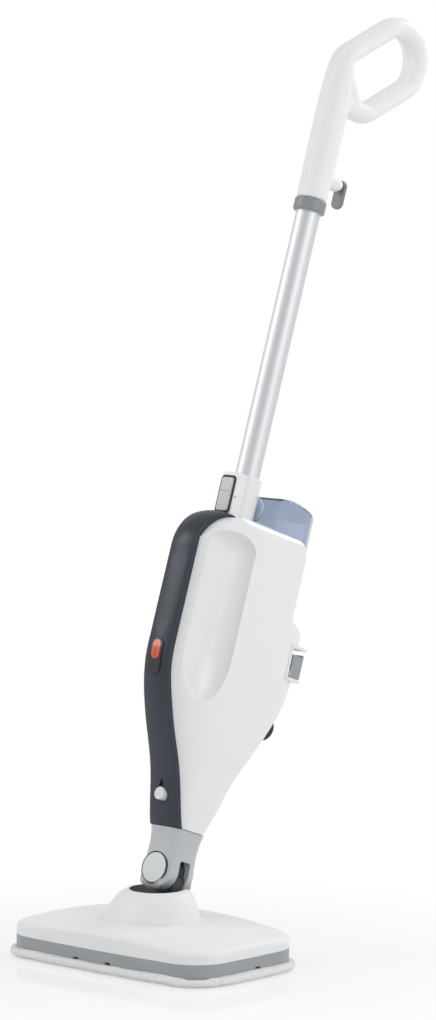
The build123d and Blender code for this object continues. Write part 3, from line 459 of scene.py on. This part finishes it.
def handleBody():
    bm = bmesh.new()
    web, fin = handleForm["web"], handleForm["fin"]
    ovalStack(bm, handleForm["grip"])
    ovalBar(bm, handleForm["start"], 0.0, handleForm["bar"], handleForm["moves"])
    ovalBar(bm, web["start"], web["heading"], handleForm["bar"], [(web["run"], 0, 0)])
    ovalBar(bm, fin["start"], fin["heading"], fin["half"], [(fin["run"], 0, 0)])
    hookBoss(bm, handleForm["boss"])
    bmesh.ops.recalc_face_normals(bm, faces=bm.faces)
    bm.transform(toFrame)
    body = newPiece("handleBody", bm, "handleAbs")
    voxelRemesh(body, handleForm["voxelMm"])
    blend = body.modifiers.new("blend", "SMOOTH")
    blend.iterations = handleForm["smooth"]
    applyModifiers(body)
    return body


def handleHalf(name, body, side):
    bm = bmesh.new()
    bm.from_mesh(body.data)
    plane = (side * handleForm["partingMm"] / 1000, 0, 0)
    cut = bmesh.ops.bisect_plane(bm, geom=bm.verts[:] + bm.edges[:] + bm.faces[:], plane_co=plane,
                                 plane_no=(side, 0, 0), clear_inner=True)["geom_cut"]
    rim = [item for item in cut if isinstance(item, bmesh.types.BMEdge)]
    bmesh.ops.triangle_fill(bm, use_beauty=True, edges=rim, normal=(-side, 0, 0))
    bmesh.ops.recalc_face_normals(bm, faces=bm.faces)
    return newPiece(name, bm, "handleAbs")


def screwRecesses(half):
    recess = handleForm["recess"]
    bm = bmesh.new()
    for y, z in handleForm["screws"]:
        middle = Matrix.Translation((-recess["depth"] - recess["reach"] / 2, y, z))
        across = Matrix.Rotation(math.pi / 2, 4, "Y")
        bmesh.ops.create_cone(bm, cap_ends=True, segments=recess["sides"], radius1=recess["radius"],
                              radius2=recess["radius"], depth=recess["reach"],
                              matrix=toFrame @ middle @ across)
    cutter = newPiece("recessCutter", bm, "handleAbs")
    bore = half.modifiers.new("recess", "BOOLEAN")
    bore.operation = "DIFFERENCE"
    bore.object = cutter
    applyModifiers(half)
    bpy.data.objects.remove(cutter)


handleBulk = handleBody()
handleHalves = {"handleRight": ("handle_right", 1), "handleLeft": ("handle_left", -1)}
for name, (node, side) in handleHalves.items():
    half = handleHalf(name, handleBulk, side)
    if side < 0:
        screwRecesses(half)
    smoothFaces(half.data)
    half.data.set_sharp_from_angle(angle=math.radians(handleForm["sharp"]))
    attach(half, "body")
    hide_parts(node)
    print(name, "made:", len(half.data.polygons), "faces")
bpy.data.objects.remove(handleBulk)


# The left shell: its front shoulder falls back a little beside the spine's curl, in mm, and the rest is as in
# the source. Each pair is where the fall begins and where it is full.
shoulderForm = {"x": (16.0, 40.0), "y": (-30.0, -84.0), "z": (360.0, 430.0), "back": 10.0}


def ramp(value, ends):
    share = min(max((value - ends[0]) / (ends[1] - ends[0]), 0.0), 1.0)
    return share * share * (3 - 2 * share)


def softShoulder():
    mesh = frame["nodes"]["left_shell"].data.copy()
    mesh.name = "leftShell"
    for vertex in mesh.vertices:
        place = toUpright @ vertex.co
        share = ramp(abs(place.x), shoulderForm["x"])
        share *= ramp(place.y, shoulderForm["y"])
        share *= ramp(place.z, shoulderForm["z"])
        if share:
            vertex.co = toFrame @ (place + Vector((0, shoulderForm["back"], 0)) * share)
    return newObject("leftShell", mesh)


shell = softShoulder()
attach(shell, "body")
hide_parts("left_shell")
print("left shoulder eased")


# The spine: its front is crowned across its width, in mm; its middle line and side walls stay as they are.
# It widens from its upper to its lower half width between two heights. The curl takes it over the top.
spineForm = {
    "half": (17.5, 22.0), "widens": (290.0, 95.0), "crown": 2.6, "flatX": 12.0, "holeDepth": 8.0,
    "curl": {"y": -48.0, "z": 400.0, "radius": 52.0}, "probeY": -200.0,
    "mergeMm": 0.02, "edgeMm": 3.0, "passes": 7, "sharp": 32.0,
}


def spineFall(place):
    upper, lower = spineForm["half"]
    half = upper + (lower - upper) * ramp(place.z, spineForm["widens"])
    return spineForm["crown"] * (place.x / half) ** 2


# How far a point lies behind the spine's front, and which way is inwards there
def spineDepth(place, outline):
    curl = spineForm["curl"]
    if place.z > curl["z"] and place.y >= curl["y"]:
        return curl["z"] + curl["radius"] - place.z, Vector((0, 0, -1))
    if place.z > curl["z"]:
        inward = Vector((0, curl["y"] - place.y, curl["z"] - place.z))
        return curl["radius"] - inward.length, inward.normalized()
    inward = Vector((0, 1, 0))
    front = outline.ray_cast((spineForm["flatX"], spineForm["probeY"], place.z), inward)[0]
    if front is None:
        return spineForm["holeDepth"], inward
    return place.y - front.y, inward


def crownedSpine():
    bm = bmesh.new()
    bm.from_mesh(frame["nodes"]["front_spine"].data)
    bm.transform(toUpright)
    bmesh.ops.remove_doubles(bm, verts=bm.verts, dist=spineForm["mergeMm"])
    outline = BVHTree.FromBMesh(bm)
    for number in range(spineForm["passes"]):
        longEdges = [edge for edge in bm.edges if edge.calc_length() > spineForm["edgeMm"]]
        bmesh.ops.subdivide_edges(bm, edges=longEdges, cuts=1)
    bmesh.ops.triangulate(bm, faces=bm.faces)
    for vertex in bm.verts:
        fall = spineFall(vertex.co)
        depth, inward = spineDepth(vertex.co, outline)
        if abs(vertex.co.x) > spineForm["flatX"]:
            move = fall - depth
        else:
            move = fall * (1 - depth / spineForm["holeDepth"])
        if move > 0:
            vertex.co = vertex.co + inward * move
    bm.transform(toFrame)
    spine = newPiece("frontSpine", bm, "anthracite")
    smoothFaces(spine.data)
    oldNormals = spine.data.attributes.get("custom_normal")
    if oldNormals:
        spine.data.attributes.remove(oldNormals)
    spine.data.set_sharp_from_angle(angle=math.radians(spineForm["sharp"]))
    return spine


spine = crownedSpine()
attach(spine, "body")
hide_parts("front_spine")
print("spine crowned:", len(spine.data.polygons), "faces")


# Painted shade: thin dark rings laid in the gap round the front cap of the swing pin and round the tube
# catch, where there is only shade, in mm
capGapShade = {"radius": 18.7, "sides": 72, "width": 1.45, "y": -22.1, "z": 47.0, "rise": 1.8}
leverGapShade = {"half": (11.0, 22.3), "corner": 5.0, "cornerSteps": 6, "width": 2.0, "y": -46.8, "z": 472.5,
             "rise": 1.5}


def capOutline(bm):
    bmesh.ops.create_circle(bm, cap_ends=True, segments=capGapShade["sides"], radius=capGapShade["radius"])


def leverOutline(bm):
    corners = bmesh.ops.create_grid(bm, x_segments=1, y_segments=1, size=1.0)["verts"]
    bmesh.ops.scale(bm, vec=(*leverGapShade["half"], 1), verts=corners)
    bmesh.ops.bevel(bm, geom=corners, offset=leverGapShade["corner"], segments=leverGapShade["cornerSteps"],
                    profile=0.5, affect="VERTICES", material=-1)


def paintedGapShade(name, outline, look):
    bm = bmesh.new()
    outline(bm)
    face = bm.faces[:][0]
    facingFront = Matrix.Translation((0, look["y"], look["z"])) @ Matrix.Rotation(math.radians(90), 4, "X")
    bmesh.ops.transform(bm, matrix=facingFront, verts=bm.verts)
    ring = bmesh.ops.inset_region(bm, faces=[face], thickness=look["width"], use_boundary=True)["faces"]
    bmesh.ops.delete(bm, geom=[face], context="FACES")
    raised = bmesh.ops.extrude_face_region(bm, geom=ring)["geom"]
    top = [item for item in raised if isinstance(item, bmesh.types.BMVert)]
    bmesh.ops.translate(bm, vec=(0, -look["rise"], 0), verts=top)
    bmesh.ops.recalc_face_normals(bm, faces=bm.faces)
    bm.transform(toFrame)
    # The rings take the dark rubber finish as painted shade in the gaps
    line = newPiece(name, bm, "rubberAndGapShade")
    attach(line, "body")


paintedGapShade("capGapShade", capOutline, capGapShade)
paintedGapShade("leverGapShade", leverOutline, leverGapShade)
print("dark lines made")


# Floor, backdrop and light, in metres. Near the mop the floor shows its shadow; farther off it is white.
stageLook = {"floor": "F4F4F4", "floorRough": 0.07, "floorHalf": 12.0, "floorZ": -0.0006,
             "shadowShare": 0.40, "fadeFrom": 0.16, "fadeTo": 0.55, "world": 0.66}


def paleFloor():
    bm = bmesh.new()
    under = Matrix.Translation((0, 0, stageLook["floorZ"]))
    bmesh.ops.create_grid(bm, x_segments=1, y_segments=1, size=stageLook["floorHalf"], matrix=under)
    mesh = bpy.data.meshes.new("paleFloor")
    bm.to_mesh(mesh)
    bm.free()
    floor = newObject("paleFloor", mesh)
    mat, tree, shader = newMaterial("paleFloor")
    shader.inputs["Base Color"].default_value = linear(stageLook["floor"])
    shader.inputs["Roughness"].default_value = stageLook["floorRough"]
    path = addNode(tree, "ShaderNodeLightPath")
    seen = addNode(tree, "ShaderNodeMath", {"operation": "MAXIMUM"},
                   {0: path.outputs["Is Camera Ray"], 1: path.outputs["Is Glossy Ray"]})
    seen = addNode(tree, "ShaderNodeMath", {"operation": "MAXIMUM"},
                   {0: seen.outputs["Value"], 1: path.outputs["Is Transmission Ray"]})
    place = addNode(tree, "ShaderNodeTexCoord").outputs["Object"]
    away = addNode(tree, "ShaderNodeVectorMath", {"operation": "LENGTH"}, {0: place})
    fade = addNode(tree, "ShaderNodeMapRange",
                   {"From Min": stageLook["fadeFrom"], "From Max": stageLook["fadeTo"],
                    "To Min": 1 - stageLook["shadowShare"], "To Max": 1.0},
                   {"Value": away.outputs["Value"]})
    share = addNode(tree, "ShaderNodeMath", {"operation": "MULTIPLY"},
                    {0: seen.outputs["Value"], 1: fade.outputs["Result"]})
    glow = addNode(tree, "ShaderNodeEmission", {"Color": (1, 1, 1, 1), "Strength": 1.0})
    mix = addNode(tree, "ShaderNodeMixShader", None,
                  {0: share.outputs["Value"], 1: shader.outputs["BSDF"], 2: glow.outputs["Emission"]})
    tree.links.new(mix.outputs["Shader"], tree.nodes["Material Output"].inputs["Surface"])
    mesh.materials.append(mat)
    return floor


def paleWorld():
    world = bpy.data.worlds.new("paleStudio")
    world.use_nodes = True
    tree = world.node_tree
    soft = tree.nodes["Background"]
    soft.inputs["Color"].default_value = (1, 1, 1, 1)
    soft.inputs["Strength"].default_value = stageLook["world"]
    path = addNode(tree, "ShaderNodeLightPath")
    white = addNode(tree, "ShaderNodeBackground", {"Color": (1, 1, 1, 1), "Strength": 1.0})
    seen = addNode(tree, "ShaderNodeMath", {"operation": "MAXIMUM"},
                   {0: path.outputs["Is Camera Ray"], 1: path.outputs["Is Transmission Ray"]})
    mix = addNode(tree, "ShaderNodeMixShader", None,
                  {0: seen.outputs["Value"], 1: soft.outputs["Background"], 2: white.outputs["Background"]})
    tree.links.new(mix.outputs["Shader"], tree.nodes["World Output"].inputs["Surface"])
    bpy.context.scene.world = world


lamps = {
    "keyLamp": {"place": (-2.6, -2.4, 2.6), "aim": (0, 0.1, 0.45), "size": 2.0, "watts": 42.0},
    "sideLamp": {"place": (3.6, 0.6, 2.2), "aim": (0, 0.1, 0.5), "size": 2.4, "watts": 40.0},
    "backLamp": {"place": (0.4, 3.2, 2.4), "aim": (0, 0.1, 0.6), "size": 1.8, "watts": 30.0},
}


def pointAt(thing, look):
    thing.location = look["place"]
    thing.rotation_euler = (Vector(look["aim"]) - Vector(look["place"])).to_track_quat("-Z", "Y").to_euler()


def softLamp(name, look):
    light = bpy.data.lights.new(name, "AREA")
    light.energy = look["watts"]
    light.size = look["size"]
    pointAt(newObject(name, light), look)


paleFloor()
paleWorld()
for name, look in lamps.items():
    softLamp(name, look)

# Camera fitted to the head's corners and the wand's lean in the picture, in metres; the lens is in mm
view = {"place": (3.5292, -3.6761, 1.0106), "aim": (0.0, 0.108467, 0.498219), "lens": 163.34, "far": 100.0}
camera = newObject("camera", bpy.data.cameras.new("camera"))
camera.data.lens = view["lens"]
camera.data.clip_end = view["far"]
pointAt(camera, view)
bpy.context.scene.camera = camera
bpy.context.scene.view_settings.view_transform = "Standard"
print("stage and camera set")
